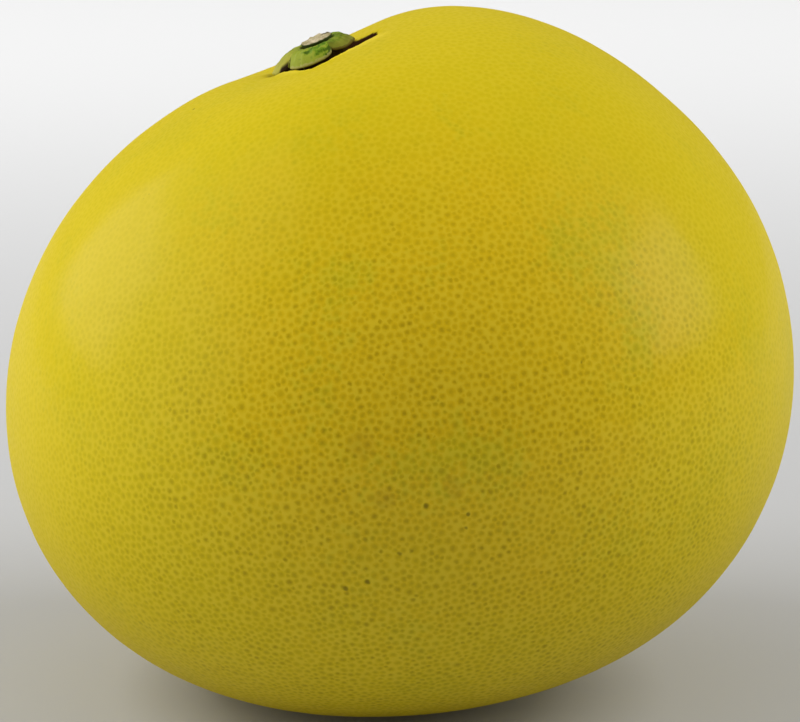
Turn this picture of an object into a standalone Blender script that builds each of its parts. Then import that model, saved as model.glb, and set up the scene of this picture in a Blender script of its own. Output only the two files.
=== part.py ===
"""A large yellow grapefruit, picked with its green calyx and a short cut stub of stalk.

Metres, +Z up. The stem end leans towards -X, and -Y is the side that it is usually seen from.
The origin is the middle of the small flat that the fruit rests on.
"""
import math

import bmesh
import bpy
import numpy as np
from mathutils import Matrix

MM = 0.001

# The body: a mean radius with a few waves along the meridian, in mm, counted from the stem end
MEAN_RADIUS = 59.1
STEM_HALF_TALLER = 2.35
WAIST_WIDER = -3.85
STEM_END_TAPER = 0.95
SIDE_WAVES = (0.7, 0.55, 1.8)
BODY_LEAN = 16.0

# Local swellings and hollows of the body: height mm, then polar, azimuth and width in degrees
STEM_HOLLOW = (-5.8, 0.0, 0.0, 32.0)
STEM_DIP = (-1.8, 4.0, 0.0, 9.0)
FRONT_DIP = (-0.9, 9.0, -115.0, 6.5)
BACK_FURROW = (-3.1, 12.0, 95.0, 8.2)
RIGHT_SHOULDER = (1.8, 19.0, 33.0, 15.0)
LEFT_SHOULDER = (4.2, 35.0, 199.0, 25.0)
FRONT_SHOULDER = (2.2, 30.0, -90.0, 13.0)
RIGHT_FLANK_FLAT = (-1.2, 58.0, 0.0, 12.0)
RIM_SWELLING = (0.55, 10.0, -36.0, 5.0)
RIM_DIP = (-0.3, 8.5, -90.0, 2.6)
SWELLINGS = (STEM_HOLLOW, STEM_DIP, FRONT_DIP, BACK_FURROW, RIGHT_SHOULDER, LEFT_SHOULDER,
             FRONT_SHOULDER, RIGHT_FLANK_FLAT, RIM_SWELLING, RIM_DIP)

# The flat underneath
REST_CUT = 0.55

# The stem end: a steep little basin, whose own axis leans a little more than the body
STEM_OFFSET = 2.0
STEM_LEAN = 21.0
BASIN_HALF_LENGTH = 8.6
BASIN_HALF_WIDTH = 7.0
BASIN_DEPTH = 2.5
BASIN_WALL_POWER = 16

# The calyx: five blunt lobes round a collar, in mm and degrees, with heights counted from the rim
# of the basin. The larger a lobe's rise and fall, the squarer its first and its last corner, and
# the larger its power, the fuller its slope
LOBE_NOTCHES = (-165.0, -63.0, 17.0, 77.0, 139.0)
LOBE_TIPS = (6.2, 5.5, 5.6, 5.8, 8.2)
LOBE_LIFTS = (1.2, 1.5, 1.1, 1.0, 0.8)
LOBE_RISES = (20, 8, 6, 6, 6)
LOBE_FALLS = (4, 6, 6, 6, 16)
NOTCH_RADII = (3.9, 4.45, 4.3, 4.3, 4.3)
NOTCH_LIFT = 2.2
COLLAR_TOP = 2.95
COLLAR_RADIUS = 3.25
DOME_POWERS = (2.2, 2.0, 1.8, 1.6, 1.9)
POWER_BLEND = 6
SOCKET_RADIUS = 2.75
SOCKET_FLOOR = 1.2
LOBE_THICKNESS = 0.5
FOOT_RADIUS = 3.4
UNDERCUT_SHARE = 0.3
UNDERCUT_DROP = 0.3
LOBE_COLUMNS = 16

# The stub of the stalk
STUB_RADIUS = 2.35
STUB_FACE_RADIUS = 2.6
STUB_FACE = 3.5
STUB_SIDES = 40

# Clearance between neighbouring pieces
GAP = 0.32

# Fineness of the body's mesh
SECTORS = 72
FINE_STEP = 0.8
COARSE_STEP = 4.4
FINE_REACH = 10.0
BLEND_REACH = 34.0
FIRST_RING = 3.0


def leaning(degrees):
    """The turn of a frame whose upright axis leans that far towards -X."""
    return np.array(Matrix.Rotation(-math.radians(degrees), 3, "Y"))


def ray(polar, azimuth):
    """Unit vectors at angles in degrees, polar from +Z and azimuth from +X."""
    polar, azimuth = np.radians(polar), np.radians(azimuth)
    return np.stack([np.sin(polar) * np.cos(azimuth), np.sin(polar) * np.sin(azimuth),
                     np.cos(polar) + 0.0 * azimuth], axis=-1)


def body_radius(rays):
    """Distance in mm from the body's centre to its skin along rays in the body's own frame."""
    theta = np.arccos(np.clip(rays[..., 2], -1.0, 1.0))
    side = rays[..., 0] / np.maximum(np.sin(theta), 1e-6)
    radius = (MEAN_RADIUS + STEM_HALF_TALLER * np.cos(theta) + WAIST_WIDER * np.cos(2 * theta)
              + STEM_END_TAPER * np.cos(3 * theta))
    for wave, height in enumerate(SIDE_WAVES, start=1):
        radius = radius + height * side * np.sin(wave * theta)
    for height, polar, azimuth, width in SWELLINGS:
        nearness = rays @ ray(polar, azimuth) - 1.0
        radius = radius + height * np.exp(nearness / math.radians(width) ** 2)
    return radius


def body_skin(rays):
    """Points of the skin in mm along rays in the world's frame, before the basin is sunk."""
    return rays * body_radius(rays @ leaning(BODY_LEAN))[..., None]


def stem_frame():
    """The middle of the basin's rim on the skin, and the basin's right, back and upward axes."""
    outward = leaning(BODY_LEAN) @ ray(STEM_OFFSET, 0.0)
    return body_skin(outward), leaning(STEM_LEAN).T


def sink_basin(points, rim_centre, axes):
    """Lowers the skin inside the basin's oval to a level floor, with a steep wall round it."""
    right, back, up = ((points - rim_centre) @ axes.T).transpose(2, 0, 1)
    oval = np.hypot(right / BASIN_HALF_LENGTH, back / BASIN_HALF_WIDTH)
    inside = np.where(up > -MEAN_RADIUS, np.exp(-oval ** BASIN_WALL_POWER), 0.0)
    drop = (-BASIN_DEPTH - up) * inside
    return points + drop[..., None] * axes[2]


def ring_angles():
    """Polar angles of the rings in degrees, close together round the stem and wider beyond."""
    distance, angles = FIRST_RING, []
    while distance < (180.0 - 4.0) * math.radians(MEAN_RADIUS):
        angles.append(math.degrees(distance / MEAN_RADIUS))
        share = min(max((distance - FINE_REACH) / BLEND_REACH, 0.0), 1.0)
        distance += FINE_STEP + (COARSE_STEP - FINE_STEP) * share
    return np.array(angles)


def ringed_mesh(first, rings, last):
    """A closed bmesh from a top point, rings of points from the top down, and a bottom point."""
    mesh = bmesh.new()
    top = mesh.verts.new(first * MM)
    loops = [[mesh.verts.new(point * MM) for point in ring] for ring in rings]
    bottom = mesh.verts.new(last * MM)
    count = len(loops[0])
    for i in range(count):
        j = (i + 1) % count
        mesh.faces.new((top, loops[0][i], loops[0][j]))
        for upper, lower in zip(loops, loops[1:]):
            mesh.faces.new((upper[i], lower[i], lower[j], upper[j]))
        mesh.faces.new((bottom, loops[-1][j], loops[-1][i]))
    return mesh


def cut_flat(mesh):
    """Cuts the flat underneath, closes it with one face, and returns the middle of that face."""
    level = min(vert.co.z for vert in mesh.verts) + REST_CUT * MM
    everything = mesh.verts[:] + mesh.edges[:] + mesh.faces[:]
    cut = bmesh.ops.bisect_plane(mesh, geom=everything, plane_co=(0, 0, level), plane_no=(0, 0, -1),
                                 clear_outer=True)
    rim = [item for item in cut["geom_cut"] if isinstance(item, bmesh.types.BMEdge)]
    flat = bmesh.ops.edgeloop_fill(mesh, edges=rim)["faces"][0]
    return flat.calc_center_median()


def finish_piece(name, mesh, move, material):
    """Makes an object of a closed bmesh, with its faces out and its place in the mesh."""
    bmesh.ops.translate(mesh, vec=move, verts=mesh.verts)
    bmesh.ops.recalc_face_normals(mesh, faces=mesh.faces)
    data = bpy.data.meshes.new(name)
    mesh.to_mesh(data)
    mesh.free()
    data.shade_smooth()
    data.set_sharp_from_angle(angle=math.radians(40))
    data.materials.append(material)
    piece = bpy.data.objects.new(name, data)
    bpy.context.scene.collection.objects.link(piece)
    return piece


def plain_material(name, colour, roughness):
    material = bpy.data.materials.new(name)
    material.use_nodes = True
    shader = material.node_tree.nodes["Principled BSDF"]
    shader.inputs["Base Color"].default_value = (*colour, 1.0)
    shader.inputs["Roughness"].default_value = roughness
    shader.inputs["Metallic"].default_value = 0.0
    return material


def make_fruit(rim_centre, axes):
    """The whole fruit as one solid, and the shift that puts its flat at the origin."""
    azimuths = np.arange(SECTORS) * 360.0 / SECTORS
    turn = leaning(BODY_LEAN - STEM_OFFSET)
    grid = ray(ring_angles()[:, None], azimuths[None, :]) @ turn.T
    poles = np.array([[[0.0, 0.0, 1.0]], [[0.0, 0.0, -1.0]]]) @ turn.T
    rings = sink_basin(body_skin(grid), rim_centre, axes)
    ends = sink_basin(body_skin(poles), rim_centre, axes)
    mesh = ringed_mesh(ends[0, 0], rings, ends[1, 0])
    shift = -cut_flat(mesh)
    skin = plain_material("yellow_peel", (0.62, 0.47, 0.03), 0.42)
    finish_piece("fruit", mesh, shift, skin)
    return shift


def lobe_outline():
    """Azimuths in degrees, outer radii and heights in mm of the edge, and powers of the slope."""
    lobe = np.repeat(np.arange(len(LOBE_TIPS)), LOBE_COLUMNS)
    across = np.tile(np.arange(LOBE_COLUMNS) / LOBE_COLUMNS, len(LOBE_TIPS))
    starts, radii = np.array(LOBE_NOTCHES), np.array(NOTCH_RADII)
    ends = np.append(starts[1:], starts[0] + 360.0)
    rise, fall = np.array(LOBE_RISES)[lobe], np.array(LOBE_FALLS)[lobe]
    fullness = (1.0 - (1.0 - across) ** rise) * (1.0 - across ** fall)
    notch = radii[lobe] + (np.roll(radii, -1) - radii)[lobe] * across
    edge = notch + (np.array(LOBE_TIPS)[lobe] - notch) * fullness
    lift = NOTCH_LIFT + (np.array(LOBE_LIFTS)[lobe] - NOTCH_LIFT) * fullness
    powers = np.array(DOME_POWERS)
    power = powers[lobe] + (np.roll(powers, -1) - powers)[lobe] * across ** POWER_BLEND
    return starts[lobe] + (ends - starts)[lobe] * across, edge, lift, power


def ring_at(azimuths, radius, height):
    """Points in mm round the stem axis at a radius and height, both numbers or arrays."""
    angles = np.radians(azimuths)
    return np.stack([radius * np.cos(angles), radius * np.sin(angles), height + 0.0 * angles], axis=-1)


def make_calyx(rim_centre, axes, shift):
    """The green calyx: a socket for the stub, a sloping dome, five lobes and a foot below."""
    azimuths, edge, lift, power = lobe_outline()
    foot = -BASIN_DEPTH + GAP
    rings = [ring_at(azimuths, SOCKET_RADIUS, SOCKET_FLOOR),
             ring_at(azimuths, SOCKET_RADIUS, COLLAR_TOP),
             ring_at(azimuths, COLLAR_RADIUS, COLLAR_TOP)]
    for share in (0.25, 0.5, 0.75, 0.92, 1.0):
        fall = (lift - COLLAR_TOP) * share ** power
        rings.append(ring_at(azimuths, COLLAR_RADIUS + (edge - COLLAR_RADIUS) * share,
                             COLLAR_TOP + fall))
    under = lift - LOBE_THICKNESS
    rings.append(ring_at(azimuths, edge - 0.15, under))
    rings.append(ring_at(azimuths, FOOT_RADIUS + UNDERCUT_SHARE * (edge - FOOT_RADIUS),
                         under - UNDERCUT_DROP))
    rings.append(ring_at(azimuths, FOOT_RADIUS, foot))
    first = np.array([0.0, 0.0, SOCKET_FLOOR])
    last = np.array([0.0, 0.0, foot])
    place = [ring @ axes + rim_centre for ring in rings]
    mesh = ringed_mesh(first @ axes + rim_centre, place, last @ axes + rim_centre)
    finish_piece("calyx", mesh, shift, plain_material("green_calyx", (0.10, 0.19, 0.03), 0.6))


def make_stub(rim_centre, axes, shift):
    """The dry stub of the stalk, standing in the calyx with its pale cut face up."""
    azimuths = np.arange(STUB_SIDES) * 360.0 / STUB_SIDES
    levels = ((STUB_FACE_RADIUS - 0.2, STUB_FACE), (STUB_FACE_RADIUS, STUB_FACE - 0.12),
              (STUB_FACE_RADIUS, STUB_FACE - 0.35), (STUB_RADIUS, COLLAR_TOP),
              (STUB_RADIUS, SOCKET_FLOOR + GAP))
    rings = [ring_at(azimuths, radius, height) @ axes + rim_centre for radius, height in levels]
    first = np.array([0.0, 0.0, STUB_FACE + 0.05]) @ axes + rim_centre
    last = np.array([0.0, 0.0, SOCKET_FLOOR + GAP]) @ axes + rim_centre
    mesh = ringed_mesh(first, rings, last)
    finish_piece("stem_stub", mesh, shift, plain_material("pale_cut_wood", (0.50, 0.40, 0.24), 0.8))


def main():
    for item in list(bpy.data.objects):
        bpy.data.objects.remove(item, do_unlink=True)
    rim_centre, axes = stem_frame()
    shift = make_fruit(rim_centre, axes)
    make_calyx(rim_centre, axes, shift)
    make_stub(rim_centre, axes, shift)


main()
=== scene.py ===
"""A large yellow grapefruit: the peel with its oil glands, the green calyx and the cut stub of stalk.

Metres, +Z up. The stem end leans towards -X, and -Y is the side that it is usually seen from.
The origin is the middle of the small flat that the fruit rests on.
"""

import math

import bmesh
import bpy
import numpy as np
from bpy.props import FloatProperty, FloatVectorProperty, IntProperty, PointerProperty
from mathutils import Matrix, Vector, noise
from mathutils.bvhtree import BVHTree


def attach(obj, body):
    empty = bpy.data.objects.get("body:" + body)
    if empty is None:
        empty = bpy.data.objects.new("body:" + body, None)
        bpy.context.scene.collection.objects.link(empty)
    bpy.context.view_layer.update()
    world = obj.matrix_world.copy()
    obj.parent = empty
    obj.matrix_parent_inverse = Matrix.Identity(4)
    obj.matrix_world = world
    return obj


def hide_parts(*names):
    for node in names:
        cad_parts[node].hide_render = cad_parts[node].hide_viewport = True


bl_info = {
    "name": "Grapefruit",
    "version": (1, 0, 0),
    "blender": (4, 5, 0),
    "location": "3D View > Sidebar > Grapefruit",
    "description": "Builds a large yellow grapefruit with its oil glands, calyx and cut stub of stalk",
    "category": "Add Mesh",
}

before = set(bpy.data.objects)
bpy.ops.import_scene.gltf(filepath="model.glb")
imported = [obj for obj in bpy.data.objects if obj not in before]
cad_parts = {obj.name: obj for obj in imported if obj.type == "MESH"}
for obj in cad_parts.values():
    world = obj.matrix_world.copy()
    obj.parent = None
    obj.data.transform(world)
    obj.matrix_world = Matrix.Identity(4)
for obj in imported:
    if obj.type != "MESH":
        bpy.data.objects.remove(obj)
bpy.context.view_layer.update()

MM = 0.001

# The body's centre and the lean of its own axis
BODY_CENTRE = Vector((5.86, 0.0, 51.41)) * MM
BODY_LEAN = math.radians(16.0)

# The basin round the stem: the middle of its rim, its lean, and its half length and half width in mm
RIM_CENTRE = Vector((-6.85, 0.0, 102.38)) * MM
STEM_LEAN = math.radians(21.0)
BASIN_HALF_LENGTH = 8.6
BASIN_HALF_WIDTH = 7.0

# Where each colour of the basin starts and where it is full. Reaches, insides and outsides are shares
# of the basin's half length and half width, and the rest is in mm from the middle of its rim
BASIN_LOWEST = (-9.0, -7.0)
WALL_REACH = (1.12, 0.85)
# The foot's dark brown round the calyx is partly its old seam and partly painted shade under the calyx
FOOT_REACH = (0.95, 0.55)
# The lip's reaches mark out a painted highlight along the near lip
LIP_INSIDE = (1.04, 1.24)
LIP_OUTSIDE = (1.55, 1.28)
LIP_FRONT = (-2.0, -5.0)
LIP_LEFT = (-8.0, -5.0)
# The crack is painted shade over a dark brown crease along the basin's far wall
CRACK_TOP = (-0.24, -0.46)
CRACK_BOTTOM = (-2.2, -1.4)
CRACK_LEFT = (-7.0, 4.0)
CRACK_RIGHT = (9.5, 8.9)
CRACK_OUTSIDE = (1.3, 1.15)
CRACK_BACK = (0.0, 1.0)

# How the top of the crack's painted shade climbs to the right: where it starts and ends, and how high
# it is there, in mm
CRACK_CLIMB = (5.0, 9.4, 0.0, 0.8)

# The near lip where the calyx all but touches it: how far it rises, the middle of that rise to the
# right, back and up from the rim's middle, and its reach, in mm
LIP_RISE = 0.75
LIP_PLACE = (-5.6, -7.2, 0.8)
LIP_REACH = 2.8

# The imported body's triangles are paired up to these angles, and its faces divided so many times
FLATTEST_FOLD = math.radians(40.0)
SQUAREST_CORNER = math.radians(50.0)
SKIN_LEVEL = 2

# The net of the glands: points tried to the square metre, how far the skin is looked for and how
# near corners are merged, in metres, what each cell knows, the direction that a cell's own right is
# square to, and the fewest and the most triangles
SCATTER_DENSITY = 8e6
RAY_LENGTH = 0.2
MERGE = 1e-6
CELL_FACTS = ("middle", "facing", "chance", "room")
SKEWED_UP = (0.02, 0.05, 1.0)
PEEL_TRIANGLES = (100000, 200000)

# Length of the slow waves in the peel, and the dimple and brown scar at the blossom end, in mm
WAVE_LENGTH = 9.0
DIMPLE_RADIUS = 5.0
DIMPLE_DEPTH = 0.6
SCAR_EDGE = (1.6, 2.8)

# Sizes of the unevenness in the peel's colour, in mm
BROAD_MOTTLE = 26.0
LIME_MOTTLE = 17.0
PATCH_MOTTLE = 7.0
FINE_MOTTLE = 1.6

# The dots: the size of a middling cell as its kind gives it, the sizes between which small cells
# fade, and how ragged a dot is over what length, in mm. They grow stronger between two distances in
# mm from the upright plane through the body's left and right: the distances, then the shares there.
# Their fading towards the sides and the top is painted light, standing for highlights washing them out
CELL_SIZE = 0.7
SMALL_CELLS = (0.42, 0.62)
DOT_RAGGED = 0.55
DOT_RAGGED_LENGTH = 0.5
DOTS_SHOW = (18.0, 62.0, 0.15, 1.0)

# The roughness of the wax, and the height in mm of the unevenness that only the shader gives
WAX_ROUGHNESS = 0.22
PEEL_BUMP = 0.12

# The warmer middle of the front, partly a warmer hue and partly painted light that brightens the
# middle
# of the front: turn to the right and rise in degrees, the distances from it at which the colour starts
# and is full, and how far its broad and its patchy edges wander, in mm
AMBER_MIDDLE = (9.0, 15.0)
AMBER_REACH = (58.0, 11.6)
AMBER_WANDER = (40.0, 20.0)

# Marks on the front: turn to the right and rise in degrees from the body's centre, radius in mm
BROWN_SPECKS = ((-77.3, 53.0, 0.35), (-56.2, 37.0, 0.33), (-57.0, 36.2, 0.28), (-63.5, 31.9, 0.25),
                (-59.8, 21.7, 0.3), (39.4, 27.5, 0.3))
DARK_GLANDS = ((2.7, -2.9, 0.42), (8.5, -4.3, 0.4), (8.2, -6.3, 0.36), (-5.4, -14.4, 0.42),
               (-8.5, -15.6, 0.45), (-0.8, -9.9, 0.42), (0.8, -9.5, 0.4), (25.9, 15.4, 0.3))
RUSTY_SPOTS = ((-2.9, -2.0, 1.3), (6.2, 0.2, 1.0), (6.7, -1.0, 1.0), (-6.1, 5.6, 1.6))

# How far the edges of the marks wobble, and over what length, in mm
MARK_WOBBLE = 0.5
MARK_WOBBLE_LENGTH = 0.8

# The calyx's lobes: where the notch before each is in degrees, that notch's radius, and the reach
# and height of the lobe in mm. The larger a lobe's rise and fall, the squarer its first and its last
# corner, and the larger its power, the fuller its slope. Each power holds along most of its lobe and
# passes into the next one's near its end, and the height follows the fullness to the lift's power
LOBE_NOTCHES = (-152.0, -63.0, 17.0, 77.0, 139.0)
NOTCH_RADII = (5.5, 4.4, 4.6, 4.3, 4.5)
LOBE_TIPS = (6.2, 5.6, 6.2, 5.9, 8.2)
LOBE_LIFTS = (1.2, 1.5, 1.1, 1.0, 0.8)
LOBE_RISES = (40, 8, 3, 5, 5)
LOBE_FALLS = (4, 12, 5, 3, 10)
DOME_POWERS = (2.8, 2.0, 1.8, 1.6, 2.2)
POWER_BLEND = 6
LIFT_POWER = 0.4
LOBE_VEINS = 5.0
LOBE_COLUMNS = 44
DOME_RINGS = 26

# The unevenness of the calyx: how ragged each lobe's edge is, the heights and lengths of its waves
# in mm, how far the veins wander, in radians, over what length, how deep the furrows between them are
# for the veins' height, the circle of the waves, and how each seed moves the waves
LOBE_RAGGEDNESS = (1.0, 1.0, 2.2, 2.2, 1.0)
EDGE_WAVES = ((0.16, 1.1), (0.1, 0.4))
LIFT_WAVE = (0.12, 1.6)
COLLAR_WAVE = (0.14, 0.9)
WRINKLE_LENGTH = 0.9
VEIN_WANDER = (2.5, 3.0)
VEIN_FURROW = 0.2
WAVE_CIRCLE = 5.0
SEED_STEP = (7.3, 3.1, 5.7)

# The calyx's heights over the basin's rim and radii, in mm: its socket, its collar, its notches, the
# thickness of the brim, the undercut of the lobes and the foot in the basin
SOCKET_RADIUS = 2.75
SOCKET_FLOOR = 1.2
COLLAR_TOP = 2.95
COLLAR_RADIUS = 3.25
COLLAR_RINGS = ((SOCKET_RADIUS, 2.7), (2.86, 2.93), (3.05, COLLAR_TOP))
NOTCH_LIFT = 2.1
LOBE_THICKNESS = 0.42
BRIM_INSET = 0.1
UNDERCUT_SHARE = 0.3
UNDERCUT_DROP = 0.3
FOOT_RADIUS = 3.4
FOOT = -2.18

# The rings of the brim: how far out and down, and how far outwards they count for the colours
BRIM_RINGS = ((0.06, 0.12, 1.02), (0.05, 0.26, 1.06), (-BRIM_INSET, LOBE_THICKNESS, 1.1))

# Sizes of the unevenness in the calyx's colour, and the height of the shader's bumps, in mm
CALYX_PATCH = 2.2
CALYX_FINE = 0.5
CALYX_BUMP = 0.1

# The stub in mm: its cut face, its side from the face down to the foot, the heights and lengths of
# the waves in them, and the middle of the dark fleck on the cut, to the right and back
STUB_RADIUS = 2.35
STUB_NECK_RADIUS = 2.5
STUB_FACE_RADIUS = 2.6
STUB_FACE = 3.5
STUB_FOOT = 1.52
STUB_SIDES = 96
FACE_RINGS = 14
FACE_MIDDLE = 0.08
FACE_CHAMFER = 0.12
FIBRE_LENGTH = 0.5
FACE_WAVE = (0.08, 1.8)
BARK_WAVE = (0.1, 0.35)
BARK_INSET = 0.08
STUB_SIDE = ((STUB_FACE_RADIUS, STUB_FACE - 0.15), (STUB_FACE_RADIUS, 3.2),
             (STUB_NECK_RADIUS, 3.0), (STUB_RADIUS, 2.8), (STUB_RADIUS, 2.2),
             (STUB_RADIUS, STUB_FOOT))
STUB_KNOT = (1.65, 1.2)

# Sizes of the fibres and patches in the colour of the cut, how they are drawn out along each axis,
# and the height of the shader's bumps in mm
FIBRE_GRAIN = 0.45
WOOD_PATCH = 1.4
FIBRE_STRETCH = (0.4, 1.0, 1.6)
STUB_BUMP = 0.1

# The soft lights: the setting of each one's power, its width and length, its place and its aim from
# the body's centre, in metres, and whether the peel reflects it
FRUIT = (0.0, 0.0, 0.0)
FLOOR_BEHIND = (0.0, 0.86, -0.1)
LIGHTS = (("left_high", 0.6, 0.5, (-0.6, 0.0, 0.6), FRUIT, False),
          ("right_high", 0.6, 0.5, (0.6, 0.0, 0.6), FRUIT, False),
          ("left_side", 0.6, 0.5, (-0.69, -0.2, 0.2), FRUIT, False),
          ("right_side", 0.5, 0.5, (0.66, -0.15, 0.36), FRUIT, False),
          ("right_glow", 0.4, 0.34, (0.7, 0.01, 0.27), FRUIT, True),
          ("left_glow", 0.5, 0.36, (-0.65, 0.28, 0.26), FRUIT, True),
          ("backdrop", 1.2, 0.3, (0.0, 0.5, 0.35), FLOOR_BEHIND, False))
FLOOR_WIDTH = 6.0

# The camera: its rise, its distance in metres, its lens and sensor in mm, the nearest that it sees in
# metres, and its aim to the right and up from the body's centre in mm
CAMERA_RISE = math.radians(15.0)
CAMERA_DISTANCE = 0.85
CAMERA_LENS = 241.7
CAMERA_SENSOR = 36.0
CAMERA_NEAREST = 0.01
CAMERA_AIM = (-0.86, 2.13)


# Node trees

class Value:
    """An output socket. Sums and products of it, with numbers or others, add their Math nodes."""

    def __init__(self, graph, socket):
        self.graph, self.socket = graph, socket

    def out(self, name):
        """Another output of the same node."""
        return Value(self.graph, self.socket.node.outputs[name])

    def math(self, operation, *others):
        return self.graph.node("ShaderNodeMath", {"operation": operation}, (self, *others))

    def __add__(self, other):
        return self.math("ADD", other)

    def __mul__(self, other):
        return self.math("MULTIPLY", other)

    def __sub__(self, other):
        return self.math("SUBTRACT", other)

    def __rsub__(self, other):
        return self.graph.node("ShaderNodeMath", {"operation": "SUBTRACT"}, (other, self))

    def __truediv__(self, other):
        return self.math("DIVIDE", other)

    def __pow__(self, other):
        return self.math("POWER", other)

    __radd__ = __add__
    __rmul__ = __mul__


class Graph:
    """A node tree, with the one way in which nodes are added to it."""

    def __init__(self, tree):
        self.tree = tree

    def node(self, kind, settings=None, values=(), output=0):
        """Adds a node: its settings first, then the values or links of its inputs."""
        node = self.tree.nodes.new(kind)
        for name, value in (settings or {}).items():
            setattr(node, name, value)
        pairs = values.items() if isinstance(values, dict) else enumerate(values)
        for key, value in pairs:
            if isinstance(value, Value):
                self.tree.links.new(value.socket, node.inputs[key])
            else:
                node.inputs[key].default_value = value
        return Value(self, node.outputs[output]) if len(node.outputs) else node

    def vector(self, operation, *values, output=0):
        return self.node("ShaderNodeVectorMath", {"operation": operation}, values, output)

    def scaled(self, vector, factor):
        return self.node("ShaderNodeVectorMath", {"operation": "SCALE"},
                         {0: vector, "Scale": factor})

    def mix(self, factor, first, second):
        """Between two colours."""
        return self.node("ShaderNodeMix", {"data_type": "RGBA", "clamp_factor": True},
                         {0: factor, 6: first, 7: second}, output=2)

    def step(self, value, low, high, start=0.0, end=1.0):
        """Smoothly from start at low to end at high."""
        return self.node("ShaderNodeMapRange", {"interpolation_type": "SMOOTHSTEP"},
                         {"Value": value, "From Min": low, "From Max": high,
                          "To Min": start, "To Max": end})

    def noise(self, vector, size, detail=2.0, roughness=0.5):
        """Noise with features of a size, in the vector's own units, about 0.5."""
        return self.node("ShaderNodeTexNoise", None,
                         {"Vector": vector, "Scale": 1.0 / size, "Detail": detail,
                          "Roughness": roughness})


def rgba(values):
    """A setting's colour as a socket takes it."""
    return (*values, 1.0)


def new_material(name, **constants):
    """A material's graph and its Principled shader, with the constants set on its sockets."""
    material = bpy.data.materials.new(name)
    material.use_nodes = True
    shader = material.node_tree.nodes["Principled BSDF"]
    for key, value in constants.items():
        shader.inputs[key.replace("_", " ")].default_value = value
    return material, Graph(material.node_tree), shader


def feed(graph, shader, **links):
    """Links values to the shader's sockets."""
    for key, value in links.items():
        graph.tree.links.new(value.socket, shader.inputs[key.replace("_", " ")])


def stem_axes():
    """The basin's right, back and upward directions."""
    turn = Matrix.Rotation(-STEM_LEAN, 3, "Y")
    return turn @ Vector((1, 0, 0)), Vector((0, 1, 0)), turn @ Vector((0, 0, 1))


def stem_place(graph, place):
    """Right, back and up from the middle of the basin's rim, in mm, of a place in metres."""
    offset = graph.vector("SUBTRACT", place, tuple(RIM_CENTRE))
    return [graph.vector("DOT_PRODUCT", offset, tuple(axis), output=1) * (1.0 / MM)
            for axis in stem_axes()]


# Settings

def length(name, description, millimetres):
    return FloatProperty(name=name, description=description, default=millimetres * MM,
                         subtype="DISTANCE", unit="LENGTH", precision=5)


def share(name, description, default):
    return FloatProperty(name=name, description=description, default=default, min=0.0, max=1.0,
                         subtype="FACTOR")


def tint(name, description, default):
    return FloatVectorProperty(name=name, description=description, default=default, size=3,
                               min=0.0, max=1.0, subtype="COLOR")


def watts(name, description, default):
    return FloatProperty(name=name, description=description, default=default,
                         subtype="POWER", unit="POWER")


class PeelSettings(bpy.types.PropertyGroup):
    gland_spacing: length("Gland spacing", "Least distance between the middles of two glands", 0.93)
    gland_radius: length("Gland radius", "Radius of the dark spot over a middling gland", 0.37)
    pit_depth: length("Pit depth", "How far the peel sinks over a gland", 0.05)
    ripple: length("Ripple", "Height of the slow waves in the peel", 0.16)
    seed: IntProperty(name="Seed", description="Random seed of the glands", default=7)
    yellow: tint("Yellow", "Colour of the peel", (0.66, 0.515, 0.005))
    # The amber is partly a warmer hue and partly painted light on the middle of the front
    amber_and_light: tint("Amber", "Colour of the warmer middle", (0.745, 0.505, 0.005))
    pale: tint("Pale ridges", "Colour half way between the glands", (0.80, 0.62, 0.035))
    lime: tint("Lime", "Colour of the greener patches", (0.615, 0.495, 0.006))
    gland: tint("Gland", "Colour over an oil gland", (0.27, 0.18, 0.0004))
    bruise: tint("Bruise", "Colour of the darkest glands", (0.15, 0.11, 0.001))
    rust: tint("Rust", "Colour of the rusty spots", (0.40, 0.22, 0.012))
    speck: tint("Speck", "Colour of the small brown specks", (0.07, 0.03, 0.008))
    wall: tint("Basin wall", "Colour of the basin round the calyx", (0.36, 0.35, 0.014))
    # The foot's colour is partly the dark brown seam and partly painted shade under the calyx
    foot_and_shade: tint("Basin foot", "Colour of the peel under the calyx", (0.085, 0.05, 0.006))
    # The lip's colour is a painted highlight along the near lip
    lip_highlight: tint("Basin lip", "Colour of the stretched lip of the basin", (0.88, 0.69, 0.04))
    # The crack's colour is painted shade over a dark brown crease
    crack_and_shade: tint("Crack", "Colour in the crack round the calyx", (0.026, 0.008, 0.002))
    roughness: share("Roughness", "Roughness of the peel", 0.5)
    sheen: share("Sheen", "Strength of the peel's own reflections", 0.03)
    wax: share("Wax", "Weight of the waxy coat", 0.25)


class CalyxSettings(bpy.types.PropertyGroup):
    green: tint("Green", "Colour of the dome", (0.13, 0.25, 0.006))
    shade: tint("Shade", "Colour between the veins", (0.06, 0.11, 0.002))
    leaf: tint("Leaf", "Colour of the lighter lobes", (0.32, 0.37, 0.03))
    pale: tint("Pale", "Colour of the palest lobe", (0.44, 0.40, 0.05))
    margin: tint("Margin", "Colour of the dry edges", (0.44, 0.40, 0.13))
    olive: tint("Olive", "Colour of the dull lobe", (0.21, 0.215, 0.02))
    brown: tint("Brown", "Colour of the withered edges", (0.09, 0.035, 0.006))
    # The underside's colour is painted shade under the lobes and in the notch
    under: tint("Underside", "Colour under the lobes", (0.026, 0.010, 0.003))
    vein_height: length("Vein height", "How far the veins stand up", 0.12)
    wrinkle: length("Wrinkle", "Height of the wrinkles", 0.13)


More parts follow.
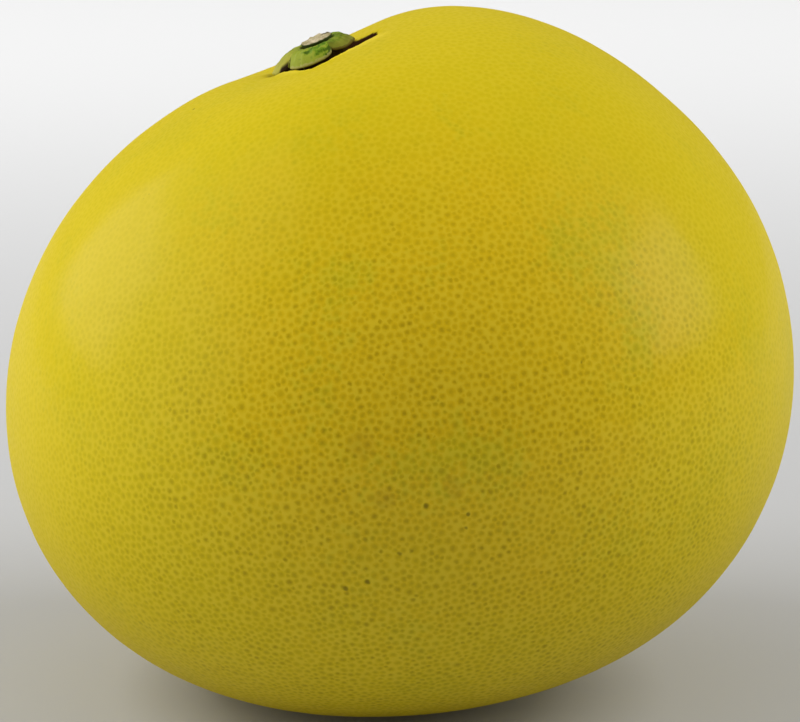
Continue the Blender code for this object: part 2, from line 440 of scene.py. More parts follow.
class StubSettings(bpy.types.PropertyGroup):
    wood: tint("Wood", "Colour of the cut face", (0.66, 0.56, 0.36))
    worn: tint("Worn wood", "Colour of the duller parts of the cut", (0.33, 0.28, 0.115))
    fibre: tint("Fibre", "Colour of the darker fibres", (0.24, 0.175, 0.08))
    rind: tint("Rind", "Colour of the green rind round the cut", (0.045, 0.065, 0.010))
    knot: tint("Knot", "Colour of the dark fleck at the edge of the cut", (0.07, 0.05, 0.02))
    grain: length("Grain", "Height of the torn fibres on the cut", 0.16)


class StageSettings(bpy.types.PropertyGroup):
    left_high: watts("Left high", "Power of the soft light above the left side", 3.15)
    right_high: watts("Right high", "Power of the soft light above the right side", 2.8)
    left_side: watts("Left side", "Power of the soft light beside the left side", 1.45)
    right_side: watts("Right side", "Power of the soft light beside the right side", 0.6)
    right_glow: watts("Right glow", "Power of the small light that the right side reflects", 0.85)
    left_glow: watts("Left glow", "Power of the small light that the left side reflects", 1.1)
    backdrop: watts("Backdrop", "Power of the light on the floor behind", 4.0)
    room: FloatProperty(name="Room light", description="Strength of the light from all round",
                        default=0.295)
    floor: tint("Floor", "Colour of the floor", (0.54, 0.54, 0.54))


# The peel

def packed_skin():
    """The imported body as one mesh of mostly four-sided faces."""
    mesh = bmesh.new()
    mesh.from_mesh(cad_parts["fruit"].data)
    bmesh.ops.remove_doubles(mesh, verts=mesh.verts, dist=MERGE)
    bmesh.ops.join_triangles(mesh, faces=mesh.faces, angle_face_threshold=FLATTEST_FOLD,
                             angle_shape_threshold=SQUAREST_CORNER)
    data = bpy.data.meshes.new("peel")
    mesh.to_mesh(data)
    mesh.free()
    data.materials.clear()
    return data


def raise_lip(mesh):
    """Lifts the basin's near lip where the calyx all but touches it."""
    places = np.empty(3 * len(mesh.vertices))
    mesh.vertices.foreach_get("co", places)
    places = places.reshape(-1, 3)
    axes = np.array(stem_axes())
    offset = (places - np.array(RIM_CENTRE)) @ axes.T / MM - LIP_PLACE
    lift = LIP_RISE * MM * np.exp(-(offset ** 2).sum(axis=1) / LIP_REACH ** 2)
    mesh.vertices.foreach_set("co", (places + lift[:, None] * axes[2]).ravel())
    mesh.update()


def facing(turn, rise):
    """The direction turned right from -Y and risen from level, in degrees."""
    turn, rise = math.radians(turn), math.radians(rise)
    return Vector((math.sin(turn) * math.cos(rise), -math.cos(turn) * math.cos(rise),
                   math.sin(rise)))


def glands_tree():
    """Lays a random, evenly filled net of glands over the body, with a pit in each cell."""
    tree = bpy.data.node_groups.new("Oil glands", "GeometryNodeTree")
    tree.is_modifier = True
    for name, kind in (("Geometry", "Geometry"), ("Spacing", "Float"), ("Pit depth", "Float"),
                       ("Ripple", "Float"), ("Seed", "Int"), ("Centre", "Vector"),
                       ("Blossom end", "Vector"), ("Material", "Material")):
        tree.interface.new_socket(name=name, in_out="INPUT", socket_type="NodeSocket" + kind)
    tree.interface.new_socket(name="Geometry", in_out="OUTPUT", socket_type="NodeSocketGeometry")
    graph = Graph(tree)
    given = graph.node("NodeGroupInput")
    position = graph.node("GeometryNodeInputPosition")
    normal = graph.node("GeometryNodeInputNormal")

    # A gland at each point of an even random scatter, and the net of cells round them
    skin = graph.node("GeometryNodeSubdivisionSurface", None,
                      {"Mesh": given.out("Geometry"), "Level": SKIN_LEVEL})
    points = graph.node("GeometryNodeDistributePointsOnFaces", {"distribute_method": "POISSON"},
                        {"Mesh": skin, "Distance Min": given.out("Spacing"),
                         "Density Max": SCATTER_DENSITY, "Seed": given.out("Seed")})
    centre = given.out("Centre")
    outward = graph.vector("NORMALIZE", graph.vector("SUBTRACT", position, centre))
    ball = graph.node("GeometryNodeSetPosition", None, {"Geometry": points, "Position": outward})
    hull = graph.node("GeometryNodeConvexHull", None, {"Geometry": ball})
    net = graph.node("GeometryNodeDualMesh", None, {"Mesh": hull})

    # The net laid on the skin, with slow ripples and a dimple at the blossom end
    radial = graph.vector("NORMALIZE", position)
    cast = graph.node("GeometryNodeRaycast", None,
                      {"Target Geometry": skin, "Source Position": centre,
                       "Ray Direction": radial, "Ray Length": RAY_LENGTH})
    skin_place = cast.out("Hit Position")
    wave = graph.noise(skin_place, WAVE_LENGTH * MM, detail=1.0) * given.out("Ripple")
    scar = graph.vector("DISTANCE", skin_place, given.out("Blossom end"), output=1)
    dimple = graph.step(scar, 0.0, DIMPLE_RADIUS * MM, DIMPLE_DEPTH * MM, 0.0)
    laid = graph.node("GeometryNodeSetPosition", None,
                      {"Geometry": net, "Position": skin_place,
                       "Offset": graph.scaled(radial, 0.0 - (wave + dimple))})

    # What each cell knows of its gland: its middle, its facing, three random numbers, and the radius
    # of a circle as large as the cell
    chance = graph.node("FunctionNodeRandomValue", {"data_type": "FLOAT_VECTOR"},
                        {"Seed": given.out("Seed")})
    area = graph.node("GeometryNodeInputMeshFaceArea")
    room = graph.node("ShaderNodeCombineXYZ", None, ((area * (1.0 / math.pi)) ** 0.5,))
    for name, value in zip(CELL_FACTS, (position, normal, chance, room)):
        laid = graph.node("GeometryNodeStoreNamedAttribute",
                          {"data_type": "FLOAT_VECTOR", "domain": "FACE"},
                          {"Geometry": laid, "Name": name, "Value": value})
    middle, face, chance, room = (graph.node("GeometryNodeInputNamedAttribute",
                                             {"data_type": "FLOAT_VECTOR"}, {"Name": name})
                                  for name in CELL_FACTS)
    size, dark, deep = (graph.node("ShaderNodeSeparateXYZ", None, (chance,)).out(axis)
                        for axis in "XYZ")
    room = graph.node("ShaderNodeSeparateXYZ", None, (room,)) * (1.0 / MM)

    # A fan of triangles in each cell, whose middle is sunk
    fan = graph.node("GeometryNodeExtrudeMesh", {"mode": "FACES"},
                     {"Mesh": laid, "Offset Scale": 0.0, "Individual": True})
    depth = given.out("Pit depth") * (0.5 + deep)
    pit = graph.vector("SUBTRACT", middle, graph.scaled(face, depth))
    sunk = graph.node("GeometryNodeSetPosition", None,
                      {"Geometry": fan, "Selection": fan.out("Top"), "Position": pit})
    closed = graph.node("GeometryNodeMergeByDistance", None,
                        {"Geometry": sunk, "Selection": fan.out("Top"), "Distance": MERGE})

    # Where each corner is from its gland's middle, in mm, and the size of the gland, which grows
    # with its cell, and its darkness
    away = graph.scaled(graph.vector("SUBTRACT", position, middle), 1.0 / MM)
    side = graph.vector("NORMALIZE", graph.vector("CROSS_PRODUCT", face, SKEWED_UP))
    across = graph.vector("CROSS_PRODUCT", face, side)
    flat = graph.node("ShaderNodeCombineXYZ", None,
                      (graph.vector("DOT_PRODUCT", away, side, output=1),
                       graph.vector("DOT_PRODUCT", away, across, output=1)))
    kind = graph.node("ShaderNodeCombineXYZ", None, ((0.8 + size * 0.4) * (room * 0.6 + 0.28), dark))
    for name, value in (("gland", flat), ("gland_kind", kind)):
        closed = graph.node("GeometryNodeStoreNamedAttribute",
                            {"data_type": "FLOAT2", "domain": "CORNER"},
                            {"Geometry": closed, "Name": name, "Value": value})
    smooth = graph.node("GeometryNodeSetShadeSmooth", None, {"Geometry": closed})
    whole = graph.node("GeometryNodeRealizeInstances", None, {"Geometry": smooth})
    done = graph.node("GeometryNodeSetMaterial", None,
                      {"Geometry": whole, "Material": given.out("Material")})
    graph.node("NodeGroupOutput", None, {"Geometry": done})
    return tree


def marks_mask(graph, place, marks, skin, softness):
    """One where any of the marks is, nought elsewhere."""
    mask = None
    wobble = graph.noise(place, MARK_WOBBLE_LENGTH * MM, detail=1.0) * (MARK_WOBBLE * MM)
    for turn, rise, radius in marks:
        spot = skin.ray_cast(BODY_CENTRE, facing(turn, rise))[0]
        away = graph.vector("DISTANCE", place, tuple(spot), output=1) + wobble
        one = graph.step(away, radius * MM, radius * MM * (1.0 + softness), 1.0, 0.0)
        mask = one if mask is None else mask.math("MAXIMUM", one)
    return mask


def ground_colour(graph, place, settings, skin, broad, patch, fine):
    """Yellow, warmer and brightened by painted light in the middle of the front, and greener in
    patches.
    """
    middle = skin.ray_cast(BODY_CENTRE, facing(*AMBER_MIDDLE))[0]
    away = graph.vector("DISTANCE", place, tuple(middle), output=1) * (1.0 / MM)
    wander = (broad - 0.5) * AMBER_WANDER[0] + (patch - 0.5) * AMBER_WANDER[1]
    warm_and_lit = graph.step(away + wander, *AMBER_REACH)
    green = graph.step(graph.noise(place, LIME_MOTTLE * MM, detail=2.0) + (fine - 0.5) * 0.5,
                       0.5, 0.78)
    colour = graph.mix(warm_and_lit, rgba(settings.yellow), rgba(settings.amber_and_light))
    return graph.mix(green, colour, rgba(settings.lime))


def gland_masks(graph, place, settings, patch, fine):
    """The dot over each gland, then how much of the ridges' and of the dots' colour shows."""
    gland = graph.node("ShaderNodeUVMap", {"uv_map": "gland"})
    kind = graph.node("ShaderNodeSeparateXYZ", None,
                      (graph.node("ShaderNodeUVMap", {"uv_map": "gland_kind"}),))
    size, dark = kind.out("X"), kind.out("Y")
    uneven = graph.noise(place, DOT_RAGGED_LENGTH * MM) - 0.5
    ragged = graph.vector("LENGTH", gland, output=1) + uneven * DOT_RAGGED
    reach = size * (settings.gland_radius / MM / CELL_SIZE)
    dot = (graph.step(ragged, reach * 0.1, reach * 1.45, 0.7, 0.0)
           + graph.step(ragged, reach * 0.4, reach * 2.3, 0.3, 0.0))
    ridge = graph.step(ragged + (fine - 0.5) * 0.8, reach * 0.9, reach * 2.1)

    # The dots are strong in the middle of the front and of the back and fade towards the sides and the
    # top: painted light, standing for the highlights washing them out there
    offset = graph.vector("SUBTRACT", place, tuple(BODY_CENTRE))
    split = graph.node("ShaderNodeSeparateXYZ", None, (offset,))
    frontal = (split.out("Y").math("ABSOLUTE") - split.out("Z") * 0.2
               + split.out("X") * 0.1) * (1.0 / MM)
    shown = graph.step(frontal, *DOTS_SHOW)
    strength = ((0.31 + (dark ** 3.0) * 0.26) * graph.step(patch, 0.3, 0.7, 0.8, 1.2) * shown
                * graph.step(size, *SMALL_CELLS, 0.4, 1.0)
                + graph.step(fine, 0.5, 0.75) * 0.05)
    return dot, ridge * (shown * 0.24 + 0.12), dot * strength


def basin_masks(graph, place, patch, fine):
    """Where the basin's wall, its foot with its painted shade under the calyx, the painted highlight
    on its near lip and the painted shade in the crack along its far wall are.
    """
    right, back, up = stem_place(graph, place)
    oval = ((right / BASIN_HALF_LENGTH) ** 2.0 + (back / BASIN_HALF_WIDTH) ** 2.0) ** 0.5
    upper = graph.step(up, *BASIN_LOWEST)
    wall = graph.step(oval + (fine - 0.5) * 0.15, *WALL_REACH) * upper
    foot_and_shade = graph.step(oval + (patch - 0.5) * 0.3, *FOOT_REACH) * upper
    lip_highlight = (graph.step(oval, *LIP_INSIDE) * graph.step(oval, *LIP_OUTSIDE)
           * graph.step(back, *LIP_FRONT) * graph.step(right, *LIP_LEFT))
    drop = up - graph.step(right, *CRACK_CLIMB)
    crack_and_shade = (graph.step(drop + (fine - 0.5) * 0.15, *CRACK_TOP) * graph.step(drop, *CRACK_BOTTOM)
             * graph.step(right, *CRACK_LEFT) * graph.step(right, *CRACK_RIGHT)
             * graph.step(oval, *CRACK_OUTSIDE) * graph.step(back, *CRACK_BACK))
    return wall, foot_and_shade, lip_highlight, crack_and_shade


def peel_material(settings, skin, blossom):
    """Waxy yellow peel, mottled, with a dark soft dot over each gland."""
    material, graph, shader = new_material("grapefruit_peel", Coat_Roughness=WAX_ROUGHNESS,
                                           Specular_IOR_Level=settings.sheen)
    place = graph.node("ShaderNodeTexCoord").out("Object")
    broad = graph.noise(place, BROAD_MOTTLE * MM, detail=3.0, roughness=0.55)
    patch = graph.noise(place, PATCH_MOTTLE * MM, detail=3.0, roughness=0.6)
    fine = graph.noise(place, FINE_MOTTLE * MM, detail=2.0)
    dot, ridges, dots = gland_masks(graph, place, settings, patch, fine)
    rusty = marks_mask(graph, place, RUSTY_SPOTS, skin, 0.9)
    bruised = marks_mask(graph, place, DARK_GLANDS, skin, 1.0)
    specks = marks_mask(graph, place, BROWN_SPECKS, skin, 0.6)
    away = graph.vector("DISTANCE", place, tuple(blossom), output=1) * (1.0 / MM)
    scar = graph.step(away + patch - 0.5, *SCAR_EDGE, 1.0, 0.0)
    wall, foot_and_shade, lip_highlight, crack_and_shade = basin_masks(graph, place, patch, fine)

    colour = ground_colour(graph, place, settings, skin, broad, patch, fine)
    # The foot holds painted shade under the calyx, the lip a painted highlight and the crack painted
    # shade over a dark brown crease
    for mask, paint in ((ridges, settings.pale), (dots, settings.gland),
                        (rusty * 0.18, settings.rust), (bruised * 0.75, settings.bruise),
                        (specks * 0.8, settings.speck), (scar * 0.85, settings.rust),
                        (wall * 0.85, settings.wall), (foot_and_shade * 0.9, settings.foot_and_shade),
                        (lip_highlight * 0.6, settings.lip_highlight), (crack_and_shade, settings.crack_and_shade)):
        colour = graph.mix(mask, colour, rgba(paint))

    gloss = settings.roughness + (broad - 0.5) * 0.12 + dot * 0.05 + crack_and_shade * 0.3
    height = dot * -0.5 + fine * 0.25 + patch * 0.3
    bump = graph.node("ShaderNodeBump", None, {"Strength": 0.35, "Distance": PEEL_BUMP * MM,
                                               "Height": height})
    slant = graph.node("ShaderNodeLayerWeight").out("Facing")
    feed(graph, shader, Base_Color=colour, Roughness=gloss, Normal=bump,
         Coat_Weight=(1.0 - crack_and_shade) * (1.0 - slant ** 3.0) * settings.wax)
    return material


class GRAPEFRUIT_OT_peel(bpy.types.Operator):
    """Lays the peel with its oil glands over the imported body"""
    bl_idname = "grapefruit.peel"
    bl_label = "Make the peel"

    def execute(self, context):
        settings = context.scene.grapefruit_peel
        piece = bpy.data.objects.new("peel", packed_skin())
        context.scene.collection.objects.link(piece)
        skin = BVHTree.FromObject(piece, context.evaluated_depsgraph_get())
        low = Vector((math.sin(BODY_LEAN), 0.0, -math.cos(BODY_LEAN)))
        blossom = skin.ray_cast(BODY_CENTRE, low)[0]
        tree = glands_tree()
        modifier = piece.modifiers.new("Oil glands", "NODES")
        modifier.node_group = tree
        given = {"Spacing": settings.gland_spacing, "Pit depth": settings.pit_depth,
                 "Ripple": settings.ripple, "Seed": settings.seed, "Centre": BODY_CENTRE,
                 "Blossom end": blossom, "Material": peel_material(settings, skin, blossom)}
        for socket in tree.interface.items_tree:
            if socket.name in given:
                modifier[socket.identifier] = given[socket.name]
        mesh = bpy.data.meshes.new_from_object(
            piece.evaluated_get(context.evaluated_depsgraph_get()))
        piece.modifiers.remove(modifier)
        piece.data = mesh
        for name in CELL_FACTS:
            mesh.attributes.remove(mesh.attributes[name])
        raise_lip(mesh)
        fewest, most = PEEL_TRIANGLES
        if not fewest < len(mesh.polygons) < most:
            raise RuntimeError("the gland spacing gives the peel too many or too few triangles")
        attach(piece, "root")
        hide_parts("fruit")
        return {"FINISHED"}


# The calyx

def ring_mesh(name, rings, first, last, uvs, material):
    """A closed mesh of rings of points in the stem's frame in mm, placed in the world."""
    axes = np.array(stem_axes())
    origin = np.array(RIM_CENTRE)
    mesh = bmesh.new()
    layer = mesh.loops.layers.uv.new("place")
    loops = [[mesh.verts.new(point) for point in ring @ axes * MM + origin] for ring in rings]
    top = mesh.verts.new(first @ axes * MM + origin)
    bottom = mesh.verts.new(last @ axes * MM + origin)
    count = len(rings[0])
    for i in range(count):
        j = (i + 1) % count
        faces = [((top, loops[0][i], loops[0][j]), (uvs[0][i], uvs[0][i], uvs[0][j]))]
        for upper, lower, over, under in zip(loops, loops[1:], uvs, uvs[1:]):
            faces.append(((upper[i], lower[i], lower[j], upper[j]),
                          (over[i], under[i], under[j], over[j])))
        faces.append(((bottom, loops[-1][j], loops[-1][i]), (uvs[-1][i], uvs[-1][j], uvs[-1][i])))
        for corners, places in faces:
            face = mesh.faces.new(corners)
            face.smooth = True
            for loop, place in zip(face.loops, places):
                loop[layer].uv = place
    bmesh.ops.recalc_face_normals(mesh, faces=mesh.faces)
    data = bpy.data.meshes.new(name)
    mesh.to_mesh(data)
    mesh.free()
    data.materials.append(material)
    piece = bpy.data.objects.new(name, data)
    bpy.context.scene.collection.objects.link(piece)
    return piece


def ring(azimuths, radius, height):
    """Points round the stem's axis at radii and heights, in mm, and azimuths in radians."""
    return np.stack([radius * np.cos(azimuths), radius * np.sin(azimuths),
                     np.broadcast_to(height, azimuths.shape)], axis=-1)


def rough(points, size, seed):
    """Smooth random numbers between about -1 and 1 at each point, with waves of a size in mm."""
    shift = Vector([seed * step for step in SEED_STEP])
    return np.array([noise.noise(Vector(point) / size + shift) for point in points])


def waves(points, wave, seed):
    """Smooth random heights at each point, of a wave's height and length in mm."""
    height, size = wave
    return height * rough(points, size, seed)


def calyx_edge():
    """Where the calyx's brim runs: each point's lobe and share of it, azimuth, radius and height."""
    share = np.tile(np.arange(LOBE_COLUMNS) / LOBE_COLUMNS, len(LOBE_TIPS))
    lobe = np.repeat(np.arange(len(LOBE_TIPS)), LOBE_COLUMNS)
    starts, radii = np.array(LOBE_NOTCHES), np.array(NOTCH_RADII)
    ends = np.append(starts[1:], starts[0] + 360.0)
    azimuths = np.radians(starts[lobe] + (ends - starts)[lobe] * share)
    rise, fall = np.array(LOBE_RISES)[lobe], np.array(LOBE_FALLS)[lobe]
    fullness = (1.0 - (1.0 - share) ** rise) * (1.0 - share ** fall)
    notch = radii[lobe] + (np.roll(radii, -1) - radii)[lobe] * share
    compass = ring(azimuths, WAVE_CIRCLE, 0.0)
    ragged = np.array(LOBE_RAGGEDNESS)[lobe] * fullness
    edge = notch + (np.array(LOBE_TIPS)[lobe] - notch) * fullness
    edge = edge + (waves(compass, EDGE_WAVES[0], 1) + waves(compass, EDGE_WAVES[1], 2)) * ragged
    lift = NOTCH_LIFT + (np.array(LOBE_LIFTS)[lobe] - NOTCH_LIFT) * fullness ** LIFT_POWER
    lift = lift + waves(compass, LIFT_WAVE, 3) * fullness
    return lobe, share, azimuths, edge, lift


def calyx_rings(settings):
    """The rings of the calyx from its socket over its dome and lobes to its foot, with their UVs."""
    lobe, across, azimuths, edge, lift = calyx_edge()
    powers = np.array(DOME_POWERS)
    power = powers[lobe] + (np.roll(powers, -1) - powers)[lobe] * across ** POWER_BLEND
    collar = waves(ring(azimuths, WAVE_CIRCLE, 0.0), COLLAR_WAVE, 4)

    # The socket, the collar and the dome with its veins
    rings = [ring(azimuths, SOCKET_RADIUS, SOCKET_FLOOR)]
    rings += [ring(azimuths, radius, height + collar) for radius, height in COLLAR_RINGS]
    shares = [0.0] * len(rings)
    for i in range(DOME_RINGS + 1):
        part = i / DOME_RINGS
        height = COLLAR_TOP + (lift - COLLAR_TOP) * part ** power
        radius = COLLAR_RADIUS + (edge - COLLAR_RADIUS) * part
        points = ring(azimuths, radius, height)
        spread = math.sin(math.pi * min(part * 1.1, 1.0)) ** 0.5
        veins = np.cos(2 * math.pi * across * LOBE_VEINS + waves(points, VEIN_WANDER, 5))
        relief = (settings.vein_height * np.maximum(veins, -VEIN_FURROW) * spread
                  + settings.wrinkle * rough(points, WRINKLE_LENGTH, 6) * spread) / MM
        points[:, 2] += relief + collar * (1.0 - part) ** 4
        rings.append(points)
        shares.append(part)

    # The brim, the hollow underside of the lobes and the foot
    brim = rings[-1][:, 2]
    for outset, drop, part in BRIM_RINGS:
        rings.append(ring(azimuths, edge + outset, brim - drop))
        shares.append(part)
    outer = edge - BRIM_INSET
    inner = FOOT_RADIUS + UNDERCUT_SHARE * (edge - FOOT_RADIUS)
    ceiling = brim - LOBE_THICKNESS - UNDERCUT_DROP
    for part in (0.25, 0.5, 0.75, 1.0):
        rings.append(ring(azimuths, outer + (inner - outer) * part,
                          brim - LOBE_THICKNESS - UNDERCUT_DROP * part ** 2))
        shares.append(1.1 + 0.5 * part)
    for part in (0.15, 0.4, 0.7, 1.0):
        rings.append(ring(azimuths, inner + (FOOT_RADIUS - inner) * part ** 0.5,
                          ceiling + (FOOT - ceiling) * part))
        shares.append(1.6 + 0.4 * part)
    uvs = [[(a, part) for a in lobe + across] for part in shares]
    return rings, uvs


def calyx_material(settings):
    """Leathery green, with pale dry margins, withered brown edges and light veins."""
    material, graph, shader = new_material("grapefruit_calyx", Specular_IOR_Level=0.25)
    place = graph.node("ShaderNodeTexCoord").out("Object")
    uv = graph.node("ShaderNodeUVMap", {"uv_map": "place"})
    split = graph.node("ShaderNodeSeparateXYZ", None, (uv,))
    around, out = split.out("X"), split.out("Y")
    patch = graph.noise(place, CALYX_PATCH * MM, detail=3.0, roughness=0.6)
    fine = graph.noise(place, CALYX_FINE * MM, detail=3.0, roughness=0.6)

    # Lobes are counted round from nought: the near one is first, the dull one second, the palest last
    near = graph.step(around, 0.95, 1.0, 1.0, 0.0)
    dull = graph.step(around, 0.97, 1.02) * graph.step(around, 2.0, 1.9)
    palest = graph.step(around, 3.95, 4.05)
    grain = graph.node("ShaderNodeCombineXYZ", None, (around * 2.6, out * 3.2))
    veins = graph.node("ShaderNodeCombineXYZ", None, (around * 14.0, out * 0.8))
    streak = (graph.noise(grain, 1.0, detail=3.0) + (graph.noise(veins, 1.0) - 0.5) * 0.45
              + (patch - 0.5) * 0.45)
    outer = graph.step(out + (patch - 0.5) * 0.5, 0.3, 0.9)
    light = graph.step(around, 0.2, 0.6, 0.15, -0.04) * near
    colour = graph.mix(graph.step(streak, 0.36, 0.5), rgba(settings.shade), rgba(settings.green))
    colour = graph.mix(graph.step(streak + outer * 0.12 + light, 0.48, 0.66) * 0.9, colour,
                       rgba(settings.leaf))
    colour = graph.mix((outer * 0.5 + 0.5) * palest * 0.9, colour, rgba(settings.pale))
    colour = graph.mix((outer * 0.5 + 0.4) * dull, colour, rgba(settings.olive))
    rim = graph.step(out + (fine - 0.5) * 0.2, 0.95, 1.0)
    colour = graph.mix(rim * near * 0.7, colour, rgba(settings.margin))
    colour = graph.mix(rim * dull * 0.6, colour, rgba(settings.brown))

    # Painted shade under the lobes and in the notch between the last and the first, but green at the
    # back
    gap = graph.step(around, 0.04, 0.0).math("MAXIMUM", graph.step(around, 4.86, 4.9))
    painted_shade = graph.step(out, 1.04, 1.12).math("MAXIMUM", gap * graph.step(out, 0.75, 0.95))
    behind = graph.step(around, 1.9, 2.1) * graph.step(around, 4.5, 4.3)
    colour = graph.mix(painted_shade, colour, graph.mix(behind, rgba(settings.under),
                                                 rgba(settings.green)))
    colour = graph.mix(graph.step(fine, 0.62, 0.75) * 0.25, colour, rgba(settings.margin))
    bump = graph.node("ShaderNodeBump", None, {"Strength": 0.5, "Distance": CALYX_BUMP * MM,
                                               "Height": fine + patch * 0.5})
    feed(graph, shader, Base_Color=colour, Roughness=0.5 + fine * 0.25, Normal=bump)
    return material


class GRAPEFRUIT_OT_calyx(bpy.types.Operator):
    """Makes the green calyx with its five lobes"""
    bl_idname = "grapefruit.calyx"
    bl_label = "Make the calyx"

    def execute(self, context):
        settings = context.scene.grapefruit_calyx
        rings, uvs = calyx_rings(settings)
        piece = ring_mesh("calyx_detail", rings, np.array((0.0, 0.0, SOCKET_FLOOR)),
                          np.array((0.0, 0.0, FOOT)), uvs, calyx_material(settings))
        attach(piece, "root")
        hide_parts("calyx")
        return {"FINISHED"}


# The stub

def stub_rings(settings):
    """The rings of the stub from the middle of its cut face down to its foot, with their UVs."""
    azimuths = np.arange(STUB_SIDES) * 2 * math.pi / STUB_SIDES
    grain = settings.grain / MM
    rings, shares = [], []
    for part in np.linspace(FACE_MIDDLE, 1.0, FACE_RINGS):
        points = ring(azimuths, (STUB_FACE_RADIUS - FACE_CHAMFER) * part, STUB_FACE)
        points[:, 2] += grain * rough(points, FIBRE_LENGTH, 8) + waves(points, FACE_WAVE, 9)
        rings.append(points)
        shares.append(part)
    rings[-1][:, 2] -= grain
    bark = waves(ring(azimuths, STUB_NECK_RADIUS, 0.0), BARK_WAVE, 10) - BARK_INSET
    for radius, height in STUB_SIDE:
        rings.append(ring(azimuths, radius + bark, height))
        shares.append(2.0)
    uvs = [[(i / STUB_SIDES, part) for i in range(STUB_SIDES)] for part in shares]
    return rings, uvs


def stub_material(settings):
    """Dry pale wood, fibrous on the cut, with a dark green rind."""
    material, graph, shader = new_material("grapefruit_stub", IOR=1.4)
    place = graph.node("ShaderNodeTexCoord").out("Object")
    uv = graph.node("ShaderNodeUVMap", {"uv_map": "place"})
    out = graph.node("ShaderNodeSeparateXYZ", None, (uv,)).out("Y")
    streaky = graph.node("ShaderNodeMapping", None, {"Vector": place, "Scale": FIBRE_STRETCH})
    fibre = graph.noise(streaky, FIBRE_GRAIN * MM, detail=3.0, roughness=0.65)
    patch = graph.noise(place, WOOD_PATCH * MM, detail=2.0)
    right, back = stem_place(graph, place)[:2]
    ends = right.math("ABSOLUTE") * 0.12
    colour = graph.mix(graph.step(patch + ends, 0.45, 0.8) * 0.85, rgba(settings.wood),
                       rgba(settings.worn))
    colour = graph.mix(graph.step(fibre, 0.48, 0.66) * 0.65, colour, rgba(settings.fibre))
    fleck = ((right - STUB_KNOT[0]) ** 2.0 + (back - STUB_KNOT[1]) ** 2.0) ** 0.5 + (patch - 0.5)
    colour = graph.mix(graph.step(fleck, 1.0, 0.6) * 0.85, colour, rgba(settings.knot))
    colour = graph.mix(graph.step(out + (patch - 0.5) * 0.3, 0.95, 1.1), colour,
                       rgba(settings.rind))
    bump = graph.node("ShaderNodeBump", None, {"Strength": 0.6, "Distance": STUB_BUMP * MM,
                                               "Height": fibre})
    feed(graph, shader, Base_Color=colour, Roughness=0.75 + patch * 0.15, Normal=bump)
    return material


class GRAPEFRUIT_OT_stub(bpy.types.Operator):
    """Makes the dry stub of the stalk with its cut face"""
    bl_idname = "grapefruit.stub"
    bl_label = "Make the stub"

    def execute(self, context):
        settings = context.scene.grapefruit_stub
        rings, uvs = stub_rings(settings)
        piece = ring_mesh("stub_detail", rings, np.array((0.0, 0.0, STUB_FACE)),
                          np.array((0.0, 0.0, STUB_FOOT)), uvs, stub_material(settings))
        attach(piece, "root")
        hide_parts("stem_stub")
        return {"FINISHED"}


# The stage

def soft_light(name, power, across, along, place, aim, reflected):
    """A soft box at a place, turned to an aim, both counted in metres from the body's centre."""
    light = bpy.data.lights.new(name, "AREA")
    light.shape = "RECTANGLE"
    light.size, light.size_y = across, along
    light.energy = power
    lamp = bpy.data.objects.new(name, light)
    lamp.location = BODY_CENTRE + Vector(place)
    lamp.rotation_euler = (Vector(place) - Vector(aim)).to_track_quat("Z", "Y").to_euler()
    lamp.visible_glossy = reflected
    bpy.context.scene.collection.objects.link(lamp)


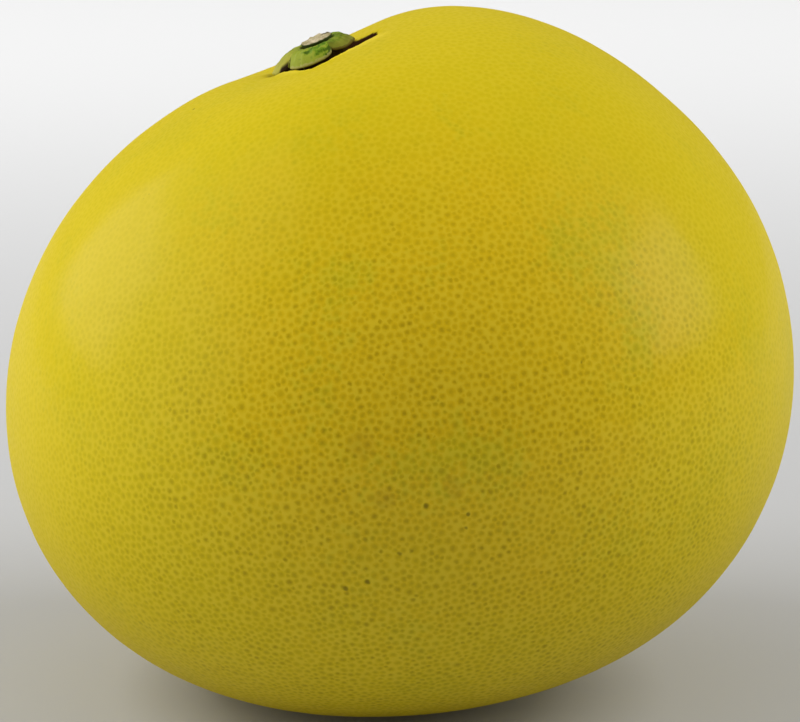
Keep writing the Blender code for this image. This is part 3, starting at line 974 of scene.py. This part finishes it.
class GRAPEFRUIT_OT_stage(bpy.types.Operator):
    """Sets the floor, the soft lights and the camera"""
    bl_idname = "grapefruit.stage"
    bl_label = "Set the stage"

    def execute(self, context):
        settings = context.scene.grapefruit_stage
        scene = context.scene
        scene.view_settings.view_transform = "Standard"
        world = bpy.data.worlds.new("Room")
        world.use_nodes = True
        background = world.node_tree.nodes["Background"]
        background.inputs["Color"].default_value = (1.0, 1.0, 1.0, 1.0)
        background.inputs["Strength"].default_value = settings.room
        scene.world = world

        bpy.ops.mesh.primitive_plane_add(size=FLOOR_WIDTH)
        floor = context.object
        floor.name = "floor"
        floor.data.materials.append(new_material("pale_floor", Base_Color=rgba(settings.floor),
                                                 Roughness=0.9)[0])

        for field, *box in LIGHTS:
            name = field.replace("_", " ").capitalize()
            soft_light(name, getattr(settings, field), *box)

        camera = bpy.data.objects.new("Camera", bpy.data.cameras.new("Camera"))
        camera.data.lens = CAMERA_LENS
        camera.data.sensor_width = CAMERA_SENSOR
        camera.data.clip_start = CAMERA_NEAREST
        up = Vector((0.0, math.sin(CAMERA_RISE), math.cos(CAMERA_RISE)))
        back = Vector((0.0, -math.cos(CAMERA_RISE), math.sin(CAMERA_RISE)))
        aim = BODY_CENTRE + (Vector((CAMERA_AIM[0], 0.0, 0.0)) + up * CAMERA_AIM[1]) * MM
        camera.location = aim + back * CAMERA_DISTANCE
        camera.rotation_euler = (math.pi / 2 - CAMERA_RISE, 0.0, 0.0)
        scene.collection.objects.link(camera)
        scene.camera = camera
        return {"FINISHED"}


# The sidebar

GROUPS = (("grapefruit_peel", PeelSettings, GRAPEFRUIT_OT_peel),
          ("grapefruit_calyx", CalyxSettings, GRAPEFRUIT_OT_calyx),
          ("grapefruit_stub", StubSettings, GRAPEFRUIT_OT_stub),
          ("grapefruit_stage", StageSettings, GRAPEFRUIT_OT_stage))


class GRAPEFRUIT_PT_sidebar(bpy.types.Panel):
    """Lists the settings and the button of each piece"""
    bl_label = "Grapefruit"
    bl_idname = "GRAPEFRUIT_PT_sidebar"
    bl_space_type = "VIEW_3D"
    bl_region_type = "UI"
    bl_category = "Grapefruit"

    def draw(self, context):
        for name, group, operator in GROUPS:
            box = self.layout.box()
            for field in group.__annotations__:
                box.prop(getattr(context.scene, name), field)
            box.operator(operator.bl_idname)


def register():
    for name, group, operator in GROUPS:
        bpy.utils.register_class(group)
        bpy.utils.register_class(operator)
        setattr(bpy.types.Scene, name, PointerProperty(type=group))
    bpy.utils.register_class(GRAPEFRUIT_PT_sidebar)


def unregister():
    bpy.utils.unregister_class(GRAPEFRUIT_PT_sidebar)
    for name, group, operator in reversed(GROUPS):
        delattr(bpy.types.Scene, name)
        bpy.utils.unregister_class(operator)
        bpy.utils.unregister_class(group)


def main():
    register()
    bpy.ops.grapefruit.peel()
    bpy.ops.grapefruit.calyx()
    bpy.ops.grapefruit.stub()
    bpy.ops.grapefruit.stage()


if __name__ == "__main__":
    main()
